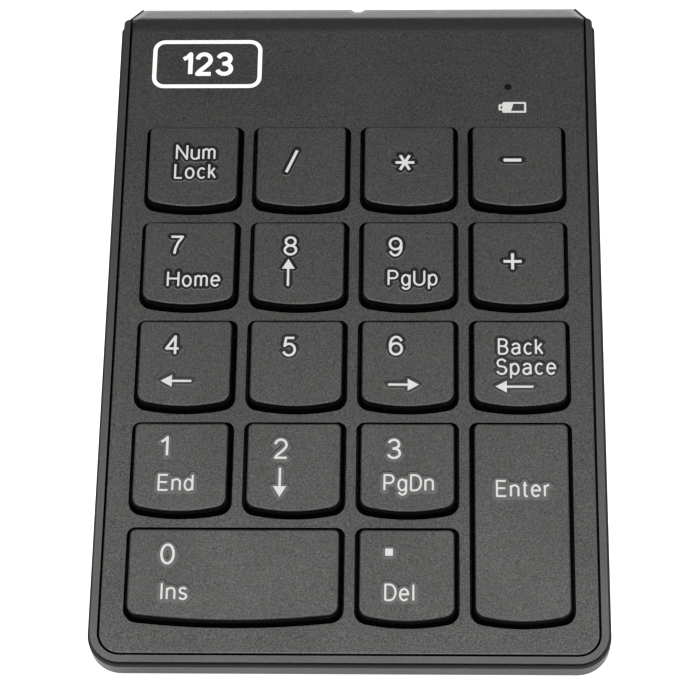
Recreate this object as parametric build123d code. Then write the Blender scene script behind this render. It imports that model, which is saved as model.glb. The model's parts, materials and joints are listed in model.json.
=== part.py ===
from build123d import *
import math
import os

os.makedirs("parts", exist_ok=True)

# Numeric keypad, millimetres.
#
# Everything is first drawn in the cover's own frame: X to the right, Y to the rear, Z square to
# the top cover, with Z = 0 on the cover's surface, X = 0 on the centre line and Y = 0 at the
# reference line of the rear row of keys. At the end all pieces are tipped by TILT about X, so
# that the feet stand on Z = 0, and moved so that the origin is the bottom centre of the box.

# ------------------------------------------------------------------ driving dimensions
KEY_PITCH = 19.0            # standard full-size key spacing, both ways
COLUMN_COUNT = 4
KEY_TRAVEL = 2.0
TILT = 5.66                 # degrees, rear edge up
FOOT_HEIGHT = 0.8
DESK_LEVEL = 16.8           # cover origin above the desk once tipped

PLATE_HALF_WIDTH = 41.0
PLATE_FRONT = -92.35
PLATE_CORNER = 3.6
PLATE_THICKNESS = 1.6
COVER_WALL = 1.4
COVER_DEPTH = 4.6           # how far the cover's outer wall reaches down
COVER_REAR = 31.9
COVER_CUT = (1.9, 3.65)     # rear corners cut off in plan: along X, along Y
SLOPE_START = 26.1
CREASE = (28.25, -0.45)
SLOPE_END = (31.7, -2.9)

FRAME_GAP = 0.3
FRAME_WIDTH = 1.15
FRAME_CAP = 0.7             # height of the visible rail
FRAME_LEG = 0.8             # thickness of the hidden leg
FRAME_DEPTH = 3.0
FRAME_REAR = 28.0
FRAME_LEG_REAR = 27.2
FRAME_END_RADIUS = 1.0

CASE_LIP = 0.5              # how far the case stands out past the frame
CASE_TOP = -1.1
CASE_WALL_FOOT = -5.1       # below this the walls tuck in
CASE_TUCK = 1.9
CASE_REAR = 32.1
CASE_CUT = (3.0, 5.76)
CASE_CORNER_RADIUS = 0.5     # easing of the rear corners' upper edge
NOTCH = (1.1, 0.4, 1.3, -4.0)   # half width, straight part, depth and floor level
CASE_WALL = 1.3
FLOOR_TOP = -6.05
FLOOR_BOTTOM = -7.25

CAP_TOP = 2.4
CAP_SKIRT = -1.2
CAP_ROOF = 1.0              # underside of the cap's roof
CAP_WALL = 1.0
# half width, rear edge, front edge, bow of the front edge, rear radius, front radius
CAP_TOP_OUTLINE = (7.80, 4.34, -11.33, 1.04, 0.95, 1.8)
CAP_SKIRT_OUTLINE = (8.33, 5.20, -11.67, 1.10, 1.3, 2.2)
CAP_HOLE_OUTLINE = (8.68, 5.55, -12.02, 1.14, 1.5, 2.4)
DISH_DEPTH = 0.3
CAP_EDGE_RADIUS = 0.3
STEM_Y = -3.4               # stem centre, from the row's reference line
STEM_HALF = 4.45
STEM_BOTTOM = -2.7
STEM_WALL = 0.9
RIB_HALF = 0.45
HOOK = (5.95, 6.65, 1.5)     # near and far side of a hook leg, half width
HOOK_BOTTOM = -2.5
BARB = (0.4, 0.45)           # how far a hook's barb stands in, and its height
RIB_BOTTOM = -2.4           # the cross rib that presses on the dome

GUIDE_TOP = -3.4
GUIDE_BOTTOM = -4.3
GUIDE_BORE = 4.6            # half width inside a guide tube
GUIDE_OUTER = 5.5
GUIDE_TUBE_TOP = -1.4
GUIDE_LEDGE = (0.35, 1.3, -2.0)   # ledge for a hook: how far out, half width, underside
HOOK_WINDOW = (1.45, 1.9, -2.05)  # opening under a hook: how far out, half width, top
WIRE_CLIP = (8.0, 0.6, 5.45, 6.95, -2.15)   # place and half width along X, limits along Y, top
SHEET_HALF_WIDTH = 36.5
SHEET_FRONT = -88.2
SHEET_REAR = 5.6
MEMBRANE_TOP = -4.9
DOME_TOP_RADIUS = 2.2
DOME_FLANGE = (3.8, 4.4, 0.25)  # radius of the skirt's foot, flange radius and thickness
DOME_PIP = (1.2, 0.8)        # radius, and depth below the dome's top
SHEET_THICKNESS = 0.12
BACKING_THICKNESS = 0.4
STAKE_RADIUS = 0.75
STAKE_HOLE = 0.65
STAKE_FLARE = (1.2, 0.3)     # radius and height of a stake's melted end
STAKE_Y = -12.3              # first row of stakes, from the first row of keys

WIRE_RADIUS = 0.45
WIRE_ARM = 6.0
WIRE_HALF = 12.0            # half length of the long bar
WIRE_OFFSET = 6.2           # bar centre line, from the stem centre
WIRE_LEVEL = -2.9
WIRE_SLACK = 0.05
EAR_INNER, EAR_OUTER = 10.2, 11.4
EAR_MIDDLE = 0.6            # centre of the ears across the key
EAR_HALF = 1.0

CELL_RADIUS = 5.25          # AAA cell
CELL_LENGTH = 44.5
CELL_Y = 18.0
CELL_Z = -11.1
CELL_X = 0.65               # the spring end has more room than the plate end
CELL_TERMINAL = (1.9, 1.0)   # radius and length
CONTACT_LEAF = (4.0, 4.2, 0.3)  # half width, half height and thickness
CONTACT_TAB = 1.5            # half width
CONTACT_BOSS = 1.4
SPRING = (3.7, 2.2, 3, 0.3)  # radius at the leaf and at the cell, turns, wire radius

SCREW_X = 38.9
SCREW_ROWS = (-84.0, -44.0, -4.0)
SCREW_HEAD = (1.6, 0.9)      # radius and height
SCREW_SHANK = 0.84
SCREW_CROSS = (1.0, 0.2, 0.5)   # half length, half width and depth of the recess
PILOT_HOLE = 0.86
BOSS_RADIUS = 1.7            # screw bosses under the cover
BOSS_HOLE_TOP = -2.0
TOWER_RADIUS = 2.0           # screw towers on the case's floor

BOARD_BOTTOM = -4.8
BOARD_TOP = -3.8
BOARD_HALF_WIDTH = 36.0
BOARD_FRONT = 8.8
BOARD_REAR = 27.0
BOARD_SCREWS = [(-32.0, 17.5), (32.0, 17.5)]
BOARD_SCREW_TIP = -8.5
TAIL_BENDS = (5.0, 6.3, 8.5, 12.5)  # the lower sheet's tail: root, two bends and tip
TAIL_HALF_WIDTH = 9.5
PAD = (9.0, 9.6, 11.6)       # pressure pad on the tail: half width, front and rear
CHIP = (-9.5, 18.5, 3.5, 1.0)   # centre, half width, height of its top above the board
PINS = (6, 1.1, 0.4, 0.2)    # count on each side, pitch, width and thickness
SWITCH_X = 33.2
SWITCH_STROKE = 2.5
SWITCH_BODY = (4.0, 23.0, 3.4)  # half width, front and height
SWITCH_LEVELS = (-7.0, -5.8)    # underside and top of the knob
KNOB_RIBS = (-0.7, 0, 0.7)

LED_PLACE = (27.1, 13.7)
LED_BASE = (0.8, 0.4, 0.3)   # half length, half width and height
LED_LENS = (0.5, 0.4)        # half length and height
WINDOW_HOLE = 0.65
WINDOW_PIN = 0.6
WINDOW_FLANGE = 1.2

# name: (column, row, columns wide, rows deep)
KEYS = {
    "num_lock": (0, 0, 1, 1),
    "divide": (1, 0, 1, 1),
    "multiply": (2, 0, 1, 1),
    "minus": (3, 0, 1, 1),
    "seven": (0, 1, 1, 1),
    "eight": (1, 1, 1, 1),
    "nine": (2, 1, 1, 1),
    "plus": (3, 1, 1, 1),
    "four": (0, 2, 1, 1),
    "five": (1, 2, 1, 1),
    "six": (2, 2, 1, 1),
    "backspace": (3, 2, 1, 1),
    "one": (0, 3, 1, 1),
    "two": (1, 3, 1, 1),
    "three": (2, 3, 1, 1),
    "enter": (3, 3, 1, 2),
    "zero": (0, 4, 2, 1),
    "decimal": (2, 4, 1, 1),
}


# ------------------------------------------------------------------ helpers
def block(x0, x1, y0, y1, z0, z1):
    """A box from its limits."""
    centre = Pos((x0 + x1) / 2, (y0 + y1) / 2, (z0 + z1) / 2)
    return centre * Box(x1 - x0, y1 - y0, z1 - z0)


def post(x, y, z0, z1, radius):
    """A round post along Z."""
    return Pos(x, y, (z0 + z1) / 2) * Cylinder(radius, z1 - z0)


def slab(face, z0, z1):
    """A flat face in the XY plane, raised from z0 to z1."""
    return extrude(Pos(0, 0, z0) * face, amount=z1 - z0, dir=(0, 0, 1))


def side_sweep(points, half_width):
    """A closed side outline of (y, z) points, as wide as the half width both ways along X."""
    outline = Plane.YZ * make_face(Polyline(*points, close=True))
    return extrude(outline, amount=half_width, both=True)


def plan(offset, rear, cut=(0.0, 0.0)):
    """The housing's plan outline at an offset from the plate's, front corners round."""
    width = PLATE_HALF_WIDTH + offset
    front = PLATE_FRONT - offset
    cut_x, cut_y = cut
    corners = [(-width, front), (width, front), (width, rear - cut_y)]
    if cut_x:
        corners += [(width - cut_x, rear), (cut_x - width, rear)]
    corners.append((-width, rear - cut_y))
    face = make_face(Polyline(*corners, close=True))
    return fillet(face.vertices().sort_by(Axis.Y)[:2], PLATE_CORNER + offset)


def top_profile(drop, rear=COVER_REAR + 2):
    """Side outline of everything under the cover's top surface, lowered by a drop."""
    last_slope = (SLOPE_END[1] - CREASE[1]) / (SLOPE_END[0] - CREASE[0])
    rear_z = CREASE[1] + (rear - CREASE[0]) * last_slope
    return [
        (PLATE_FRONT - 5, -40),
        (PLATE_FRONT - 5, -drop),
        (SLOPE_START, -drop),
        (CREASE[0], CREASE[1] - drop),
        (rear, rear_z - drop),
        (rear, -40),
    ]


def key_place(name):
    """Centre X, reference Y, extra half width and extra depth of a key."""
    column, row, wide, deep = KEYS[name]
    x = (column + (wide - 1) / 2 - (COLUMN_COUNT - 1) / 2) * KEY_PITCH
    return x, -KEY_PITCH * row, (wide - 1) * KEY_PITCH / 2, (deep - 1) * KEY_PITCH


def key_outline(name, outline, inset=0.0):
    """A key's outline: straight rear and sides, front edge bowed out towards the front."""
    _, _, extra_x, extra_y = key_place(name)
    half, rear, front, bow, rear_radius, front_radius = outline
    half += extra_x - inset
    rear -= inset
    front += inset - extra_y
    sides = Polyline((-half, front + bow), (-half, rear), (half, rear), (half, front + bow))
    edge = ThreePointArc((half, front + bow), (0, front), (-half, front + bow))
    face = make_face(sides + edge)
    corners = face.vertices().sort_by(Axis.Y)
    face = fillet(corners[2:], rear_radius)
    corners = face.vertices().sort_by(Axis.Y)
    return fillet(corners[:2], front_radius)


def stem_place(name):
    """Location of a key's stem centre, with local X along the key's long side."""
    x, y, _, extra_y = key_place(name)
    turn = 90 if extra_y else 0
    return Location((x, y + STEM_Y - extra_y / 2, 0), (0, 0, turn))


def is_long(name):
    _, _, extra_x, extra_y = key_place(name)
    return extra_x + extra_y > 0


def leg_pair(inner, outer, half_v, z0, z1):
    """Two blocks either side of the stem along its local X."""
    right = block(inner, outer, -half_v, half_v, z0, z1)
    left = block(-outer, -inner, -half_v, half_v, z0, z1)
    return right + left


def group(shapes):
    """Separate solids kept together in one node."""
    return Compound([solid for shape in shapes for solid in shape.solids()])


# ------------------------------------------------------------------ key caps and what moves them
def keycap(name):
    x, y, _, _ = key_place(name)
    skirt = Pos(0, 0, CAP_SKIRT) * key_outline(name, CAP_SKIRT_OUTLINE)
    top = Pos(0, 0, CAP_TOP) * key_outline(name, CAP_TOP_OUTLINE)
    body = loft([skirt, top], ruled=True)
    body -= dish(name)
    body = soften_top(body)
    inner_low = Pos(0, 0, CAP_SKIRT - 0.1) * key_outline(name, CAP_SKIRT_OUTLINE, CAP_WALL)
    inner_high = Pos(0, 0, CAP_ROOF) * key_outline(name, CAP_TOP_OUTLINE, CAP_WALL - 0.2)
    body -= loft([inner_low, inner_high], ruled=True)
    return Pos(x, y, 0) * body + stem_place(name) * cap_inside(name)


def dish(name):
    """The long cylinder that hollows a cap's top from side to side."""
    _, _, extra_x, _ = key_place(name)
    half = CAP_TOP_OUTLINE[0] + extra_x
    depth = DISH_DEPTH if extra_x == 0 else DISH_DEPTH / 2
    radius = (half ** 2 + depth ** 2) / (2 * depth)
    return Pos(0, -15, CAP_TOP - depth + radius) * Rot(90, 0, 0) * Cylinder(radius, 80)


def soften_top(body):
    """Round the edge between a cap's top and its sides."""
    top_face = body.faces().sort_by(Axis.Z)[-1]
    return fillet(top_face.edges(), CAP_EDGE_RADIUS)


def cap_inside(name):
    """Hollow square stem with a cross rib, two hooked legs, and ears for a stabiliser wire."""
    tube = block(-STEM_HALF, STEM_HALF, -STEM_HALF, STEM_HALF, STEM_BOTTOM, CAP_ROOF)
    bore = STEM_HALF - STEM_WALL
    tube -= block(-bore, bore, -bore, bore, STEM_BOTTOM, CAP_ROOF)
    tube += block(-bore, bore, -RIB_HALF, RIB_HALF, RIB_BOTTOM, CAP_ROOF)
    tube += block(-RIB_HALF, RIB_HALF, -bore, bore, RIB_BOTTOM, CAP_ROOF)
    near, far, half = HOOK
    legs = leg_pair(near, far, half, HOOK_BOTTOM, CAP_ROOF)
    barbs = leg_pair(near - BARB[0], near, half, HOOK_BOTTOM, HOOK_BOTTOM + BARB[1])
    inside = tube + legs + barbs
    if is_long(name):
        ears = leg_pair(EAR_INNER, EAR_OUTER, EAR_HALF, WIRE_LEVEL + 1.0, CAP_ROOF)
        ears = Pos(0, EAR_MIDDLE, 0) * ears
        inside += ears - wire_slots()
    return inside


def wire_rise():
    """Angle, in degrees, that a stabiliser's arms stand up by at rest."""
    return math.degrees(math.asin(KEY_TRAVEL / WIRE_ARM))


def wire_slots():
    """Slots in a cap's ears, long enough for the hooks as the arms swing down."""
    rest_v = WIRE_OFFSET - WIRE_ARM * math.cos(math.radians(wire_rise()))
    low_v = WIRE_OFFSET - WIRE_ARM
    reach = WIRE_RADIUS + 0.15
    level = WIRE_LEVEL + KEY_TRAVEL
    height = WIRE_RADIUS + WIRE_SLACK
    return leg_pair_slot(low_v - reach, rest_v + reach, level - height, level + height)


def leg_pair_slot(v0, v1, z0, z1):
    right = block(EAR_INNER - 1, EAR_OUTER + 1, v0, v1, z0, z1)
    left = block(-EAR_OUTER - 1, -EAR_INNER + 1, v0, v1, z0, z1)
    return right + left


def stabilizer_wire(name):
    """Bent wire: long bar, two arms, and hooks that lie in the cap's ears."""
    rise = math.radians(wire_rise())
    tip_v = WIRE_OFFSET - WIRE_ARM * math.cos(rise)
    tip_z = WIRE_LEVEL + WIRE_ARM * math.sin(rise)
    hook = EAR_INNER - 0.2
    path = FilletPolyline(
        (-hook, tip_v, tip_z),
        (-WIRE_HALF, tip_v, tip_z),
        (-WIRE_HALF, WIRE_OFFSET, WIRE_LEVEL),
        (WIRE_HALF, WIRE_OFFSET, WIRE_LEVEL),
        (WIRE_HALF, tip_v, tip_z),
        (hook, tip_v, tip_z),
        radius=0.5,
    )
    start = Plane(origin=path @ 0, z_dir=path % 0)
    return stem_place(name) * sweep(start * Circle(WIRE_RADIUS), path)


def rubber_dome(name):
    """Hollow rubber cone with a flange, and a pip inside that closes the contact."""
    base, flange_top = MEMBRANE_TOP, MEMBRANE_TOP + DOME_FLANGE[2]
    skirt, flange_edge = DOME_FLANGE[:2]
    pip_end = RIB_BOTTOM - DOME_PIP[1]
    outline = Polyline(
        (0, RIB_BOTTOM),
        (DOME_TOP_RADIUS, RIB_BOTTOM),
        (DOME_TOP_RADIUS + 0.3, RIB_BOTTOM - 0.3),
        (skirt, flange_top),
        (flange_edge, flange_top),
        (flange_edge, base),
        (skirt - 0.4, base),
        (DOME_TOP_RADIUS - 0.1, RIB_BOTTOM - 0.65),
        (DOME_PIP[0], RIB_BOTTOM - 0.6),
        (DOME_PIP[0], pip_end),
        (0, pip_end),
        close=True,
    )
    return stem_place(name) * revolve(Plane.XZ * make_face(outline), Axis.Z)


# ------------------------------------------------------------------ housing
def stake_places():
    """Where the webs between the keys cross: room for a heat stake through the stack."""
    places = []
    for column_gap in (-1, 0, 1):
        for row_gap in range(4):
            places.append((column_gap * KEY_PITCH, STAKE_Y - KEY_PITCH * row_gap))
    return places


def top_cover():
    body = cover_blank()
    inner = slab(plan(-COVER_WALL, COVER_REAR - COVER_WALL, COVER_CUT), -COVER_DEPTH, 0.5)
    body -= inner & under_top(PLATE_THICKNESS)
    for name in KEYS:
        x, y, _, _ = key_place(name)
        hole = slab(key_outline(name, CAP_HOLE_OUTLINE), -PLATE_THICKNESS - 1, 1)
        body -= Pos(x, y, 0) * hole
    for x, y in stake_places():
        body += post(x, y, GUIDE_TOP, -PLATE_THICKNESS + 0.1, STAKE_RADIUS)
        body += post(x, y, backing_bottom(), GUIDE_TOP, STAKE_HOLE - 0.05)
        body += post(x, y, backing_bottom() - STAKE_FLARE[1], backing_bottom(), STAKE_FLARE[0])
    for x, y in screw_places():
        body += post(x, y, -COVER_DEPTH, -PLATE_THICKNESS + 0.1, BOSS_RADIUS)
        body -= post(x, y, -COVER_DEPTH - 1, BOSS_HOLE_TOP, PILOT_HOLE)
    body -= post(*LED_PLACE, -PLATE_THICKNESS - 1, 1, WINDOW_HOLE)
    return body - pry_notch()


def under_top(drop):
    """All space under the cover's top surface, lowered by a drop, with its bends eased."""
    outline = make_face(Polyline(*top_profile(drop), close=True))
    for y, radius in ((SLOPE_START, 6.0), (CREASE[0], 1.0)):
        bend = [v for v in outline.vertices() if abs(v.X - y) < 0.01]
        outline = fillet(bend, radius)
    return extrude(Plane.YZ * outline, amount=PLATE_HALF_WIDTH + 5, both=True)


def cover_blank():
    """The cover's outer shape before it is hollowed, with its upper edges eased."""
    body = slab(plan(0, COVER_REAR, COVER_CUT), -COVER_DEPTH, 0)
    top = body.faces().sort_by(Axis.Z)[-1]
    body = fillet(top.edges(), 0.25) & under_top(0)
    rear_edge = [e for e in body.edges() if is_rear_edge(e.center())]
    return fillet(rear_edge, 0.4)


def is_rear_edge(centre):
    """True for the middle of the edge where the cover's last slope meets its rear wall."""
    return abs(centre.X) < 0.01 and abs(centre.Y - COVER_REAR) < 0.01 and centre.Z > -COVER_DEPTH + 0.5


def pry_notch():
    """Small blind notch in the middle of the cover's rear edge."""
    half, straight, depth, floor = NOTCH
    mouth, shoulder, apex = COVER_REAR + 1, COVER_REAR - straight, COVER_REAR - depth
    points = [(-half, mouth), (-half, shoulder), (0, apex), (half, shoulder), (half, mouth)]
    return slab(make_face(Polyline(*points, close=True)), floor, 0)


def screw_places():
    return [(side * SCREW_X, y) for side in (-1, 1) for y in SCREW_ROWS]


def backing_bottom():
    return MEMBRANE_TOP - 3 * SHEET_THICKNESS - BACKING_THICKNESS


def side_frame():
    """U-shaped rail: a flat visible cap on a hidden leg."""
    outer = FRAME_GAP + FRAME_WIDTH
    cap = slab(plan(outer, FRAME_REAR), -FRAME_CAP, 0)
    leg = slab(plan(FRAME_GAP + FRAME_LEG, FRAME_LEG_REAR), -FRAME_DEPTH, -FRAME_CAP)
    rail = cap + leg - slab(plan(FRAME_GAP, FRAME_REAR + 1), -FRAME_DEPTH - 1, 1)
    ends = [e for e in rail.edges() if is_rail_end(e.center(), PLATE_HALF_WIDTH + outer)]
    return fillet(ends, FRAME_END_RADIUS)


def is_rail_end(centre, half_width):
    """True for the middle of an upright edge at the outer rear corner of the rail's cap."""
    on_corner = abs(abs(centre.X) - half_width) < 0.01 and abs(centre.Y - FRAME_REAR) < 0.01
    return on_corner and abs(centre.Z + FRAME_CAP / 2) < 0.01


# ------------------------------------------------------------------ bottom case and battery door
DOOR_HALF_WIDTH = 27.0
DOOR_FRONT = 12.9           # in the tipped frame, as are all the door's sizes
DOOR_THICKNESS = 1.2
DOOR_LIP_TOP = 6.4
DOOR_PLAY = 0.05
TONGUE = (0.9, 0.45, 1.2)   # width, underside and top above the hump's bottom
DOOR_TABS = (8.0, 14.0)      # limits of the front tabs along X
DOOR_TONGUES = (14.1, 29.0)  # limits of the side tongues along Y
GRIP = (5, 21.5, 1.6, 0.8, 9.0, 0.35)   # grooves: count, first, pitch, width, half length, depth
HUMP_FRONT = 10.6
HUMP_REAR = 30.7
HUMP_HALF_WIDTH = 39.4
REAR_SEAM = -4.75
ROOF_TOP = -4.9
CELL_ROOM = (26.2, 5.6, -5.7)   # half length, half depth, ceiling
FLOOR_RIBS = (0.6, -86.0, 0.5)  # half width, front and rear
HALF_GATE = 38.0            # half width of the cover's rear wall that shows
FRONT_FEET = (32.0, -80.0)
REAR_FEET = (33.5, 20.5)    # in the tipped frame
FOOT_RADIUS = 4.0
FOOT_SEAT = 0.4             # how deep a foot sits in the case


def tip(shape):
    """From the cover's frame to the tipped one, where the desk is Z = 0."""
    return Location((0, 0, DESK_LEVEL), (TILT, 0, 0)) * shape


def desk_point(y, z):
    """A side-view point of the cover's frame, in the tipped frame."""
    tilt = math.radians(TILT)
    tipped_y = y * math.cos(tilt) - z * math.sin(tilt)
    tipped_z = y * math.sin(tilt) + z * math.cos(tilt) + DESK_LEVEL
    return tipped_y, tipped_z


def above(level):
    """Everything above a level in the tipped frame."""
    return block(-60, 60, -120, 60, level, 60)


def hump(inset):
    """The battery hump under the rear of the case, in the tipped frame."""
    bottom = FOOT_HEIGHT + inset
    width = HUMP_HALF_WIDTH - inset
    lift = 0.75 * inset
    outline = [
        (desk_point(1.6, FLOOR_TOP)[0] + lift, desk_point(1.6, FLOOR_TOP)[1] - 0.15 + lift),
        (HUMP_FRONT + inset * 0.45, bottom),
        (HUMP_REAR - inset, bottom),
        (desk_point(CASE_REAR, REAR_SEAM)[0] - inset, desk_point(CASE_REAR, REAR_SEAM)[1]),
    ]
    if inset:
        outline.append((outline[0][0], outline[0][1] + inset))
    body = side_sweep(outline, PLATE_HALF_WIDTH + 5)
    sides = [(-width, bottom), (width, bottom), (width + 3.4, 17.0), (-width - 3.4, 17.0)]
    wedge = Plane.XZ * make_face(Polyline(*sides, close=True))
    body = body & extrude(wedge, amount=60, both=True)
    out = FRAME_GAP + FRAME_WIDTH + CASE_LIP - inset
    body = body & tip(slab(plan(out, CASE_REAR, CASE_CUT), -30, 5))
    if inset:
        return body
    low_edges = [e for e in body.edges() if abs(e.center().Z - bottom) < 0.01]
    return fillet(low_edges, 1.0)


def tray():
    """The case's shallow tray with its tucked-under bottom edge."""
    out = FRAME_GAP + FRAME_WIDTH + CASE_LIP
    rim = plan(out, CASE_REAR, CASE_CUT)
    foot = plan(out - CASE_TUCK, CASE_REAR, CASE_CUT)
    wall = slab(rim, CASE_WALL_FOOT, CASE_TOP)
    tuck = loft([Pos(0, 0, CASE_WALL_FOOT) * rim, Pos(0, 0, FLOOR_BOTTOM) * foot], ruled=True)
    body = wall + tuck
    front = [e for e in body.edges() if abs(e.center().Z - CASE_WALL_FOOT) < 0.01]
    body = fillet(front, 1.6)
    lip = [e for e in body.edges() if abs(e.center().Z - CASE_TOP) < 0.01]
    return fillet(lip, 0.3)


def rear_corners():
    """The case's rear corners stand up beside the cover's cut-off corners."""
    out = FRAME_GAP + FRAME_WIDTH + CASE_LIP
    body = slab(plan(out, CASE_REAR, CASE_CUT), CASE_TOP - 3, 1)
    middle = block(-HALF_GATE, HALF_GATE, 0, 50, -30, 10)
    ends = block(-50, 50, FRAME_REAR + 0.1, 40, -20, 5) - middle
    return body & ends


def tray_hollows():
    """Room inside the tray for the cover, the frame's leg and the stack of sheets."""
    gap = 0.25
    cover_pocket = slab(plan(gap, COVER_REAR + gap, COVER_CUT), REAR_SEAM, 2)
    leg_pocket = slab(plan(FRAME_GAP + FRAME_LEG + 0.05, FRAME_LEG_REAR + 0.1), -FRAME_DEPTH, 2)
    room = slab(plan(gap, CASE_REAR - CASE_WALL, COVER_CUT), FLOOR_TOP, REAR_SEAM)
    rear_gate = block(-HALF_GATE, HALF_GATE, 28, 40, REAR_SEAM, 5)
    return cover_pocket + leg_pocket + room + rear_gate


def inner_walls():
    """Battery compartment, door rails, screw towers and floor ribs, in the tipped frame."""
    length, depth, _ = CELL_ROOM
    box = block(-length - 1.4, length + 1.4, CELL_Y - depth - 1.2, CELL_Y + depth + 1.3, -20, ROOF_TOP)
    walls = tip(box)
    rail_outer = DOOR_HALF_WIDTH + 2.3
    walls += block(-rail_outer, rail_outer, DOOR_FRONT - 1.5, 32, 0, FOOT_HEIGHT + 2.6)
    lip_room = DOOR_HALF_WIDTH + 1.3
    walls += block(-lip_room, lip_room, 25.4, 32, 0, DOOR_LIP_TOP + 1.2)
    for x, y in BOARD_SCREWS:
        walls += tip(post(x, y, -20, BOARD_BOTTOM, 2.2))
    walls = walls & (hump(0) + tip(block(-40, 40, 6, 28, -12, ROOF_TOP + 0.2)))
    for x, y in screw_places():
        walls += tip(post(x, y, FLOOR_TOP - 0.2, -COVER_DEPTH - 0.05, TOWER_RADIUS))
    for column in range(COLUMN_COUNT):
        x = (column - (COLUMN_COUNT - 1) / 2) * KEY_PITCH
        front, rear = FLOOR_RIBS[1:]
        half = FLOOR_RIBS[0]
        walls += tip(block(x - half, x + half, front, rear, FLOOR_TOP - 0.2, backing_bottom()))
    return walls


def case_cuts():
    """Openings in the case: cell room, door, contact slots, switch slot, screws and feet."""
    length, depth, ceiling = CELL_ROOM
    cuts = tip(block(-length, length, CELL_Y - depth, CELL_Y + depth, -22, ceiling))
    for side in (-1, 1):
        x = side * (length - 0.25)
        cuts += tip(block(x - 0.35, x + 0.35, CELL_Y - 1.8, CELL_Y + 1.8, ceiling - 1, ROOF_TOP + 1))
        groove = [DOOR_HALF_WIDTH - 0.5, DOOR_HALF_WIDTH + TONGUE[0] + 0.15]
        x0, x1 = sorted(side * x for x in groove)
        low, high = FOOT_HEIGHT + TONGUE[1] - DOOR_PLAY, FOOT_HEIGHT + TONGUE[2] + DOOR_PLAY
        cuts += block(x0, x1, DOOR_TONGUES[0] - 0.2, HUMP_REAR + 2.3, low, high)
        x0, x1 = sorted((side * (DOOR_TABS[0] - 0.1), side * (DOOR_TABS[1] + 0.1)))
        cuts += block(x0, x1, DOOR_FRONT - 1.15, DOOR_FRONT + 1, low, high)
    wide = DOOR_HALF_WIDTH + DOOR_PLAY
    cuts += block(-wide, wide, DOOR_FRONT - DOOR_PLAY, 35, -1, FOOT_HEIGHT + DOOR_THICKNESS + DOOR_PLAY)
    cuts += block(-wide, wide, 26.5, 35, -1, DOOR_LIP_TOP + 0.1)
    half_slot = SWITCH_STROKE / 2 + 1.3
    low, high = SWITCH_LEVELS
    cuts += tip(block(SWITCH_X - half_slot, SWITCH_X + half_slot, 28, 36, low - 0.4, high + 0.4))
    for x, y in screw_places():
        cuts += tip(post(x, y, FLOOR_BOTTOM - 1, FLOOR_BOTTOM + 1.0, 1.8))
        cuts += tip(post(x, y, FLOOR_BOTTOM, -COVER_DEPTH + 1, 1.0))
    for x, y in BOARD_SCREWS:
        cuts += tip(post(x, y, BOARD_SCREW_TIP - 0.5, BOARD_BOTTOM + 1, PILOT_HOLE))
    for side in (-1, 1):
        seat = FOOT_RADIUS + 0.1
        x, y = side * FRONT_FEET[0], FRONT_FEET[1]
        cuts += tip(post(x, y, FLOOR_BOTTOM - 1, FLOOR_BOTTOM + FOOT_SEAT, seat))
        cuts += post(side * REAR_FEET[0], REAR_FEET[1], -1, FOOT_HEIGHT + FOOT_SEAT, seat)
    return cuts


def is_corner_rim(edge):
    """True for a case edge that runs along the cut-off rear corner, just below the cover's top."""
    cut_x, cut_y = CASE_CUT
    centre = edge.center()
    end_x = PLATE_HALF_WIDTH + FRAME_GAP + FRAME_WIDTH + CASE_LIP - cut_x
    off_line = (abs(centre.X) - end_x) * cut_y + (centre.Y - CASE_REAR) * cut_x
    upright = abs((edge @ 1 - edge @ 0).Z) > 0.99 * edge.length
    return abs(off_line) < 0.05 and centre.Z > REAR_SEAM and not upright


def bottom_case():
    rim = (tray() + rear_corners()) & under_top(0.15)
    rim = fillet([e for e in rim.edges() if is_corner_rim(e)], CASE_CORNER_RADIUS)
    body = tip(rim) + hump(0)
    body -= tip(tray_hollows())
    body -= hump(CASE_WALL)
    return body + (inner_walls() & above(FOOT_HEIGHT)) - case_cuts()


def battery_door():
    """Door plate with an upturned rear lip, side tongues, front tabs and grip grooves."""
    top = FOOT_HEIGHT + DOOR_THICKNESS
    profile = [
        (DOOR_FRONT, 0),
        (HUMP_REAR + 5, 0),
        (HUMP_REAR + 5, DOOR_LIP_TOP),
        (HUMP_REAR - 0.6, DOOR_LIP_TOP),
        (HUMP_REAR - 1.2, top),
        (DOOR_FRONT, top),
    ]
    body = side_sweep(profile, DOOR_HALF_WIDTH) & hump(0)
    low, high = FOOT_HEIGHT + TONGUE[1], FOOT_HEIGHT + TONGUE[2]
    for side in (-1, 1):
        x0, x1 = sorted((side * (DOOR_HALF_WIDTH - 1), side * (DOOR_HALF_WIDTH + TONGUE[0])))
        body += block(x0, x1, *DOOR_TONGUES, low, high)
        x0, x1 = sorted(side * x for x in DOOR_TABS)
        body += block(x0, x1, DOOR_FRONT - 1, DOOR_FRONT + 0.5, low, high)
    count, first, pitch, width, half, depth = GRIP
    for groove in range(count):
        y = first + pitch * groove
        body -= block(-half, half, y, y + width, 0, FOOT_HEIGHT + depth)
    return body


# ------------------------------------------------------------------ key guide, sheets, backing
def guide_plate():
    """Plate with a square tube for each stem, windows for the hooks, and clips for the wires."""
    half = SHEET_HALF_WIDTH + 0.3
    plate = block(-half, half, SHEET_FRONT - 0.2, SHEET_REAR - 1.0, GUIDE_BOTTOM, GUIDE_TOP)
    for name in KEYS:
        plate += stem_place(name) * guide_tube(is_long(name))
    for name in KEYS:
        plate -= stem_place(name) * guide_openings(is_long(name))
    for x, y in stake_places():
        plate += post(x, y, MEMBRANE_TOP, GUIDE_BOTTOM + 0.1, 2 * STAKE_RADIUS)
        plate -= post(x, y, MEMBRANE_TOP - 1, GUIDE_TOP + 1, STAKE_HOLE)
    return plate


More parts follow.
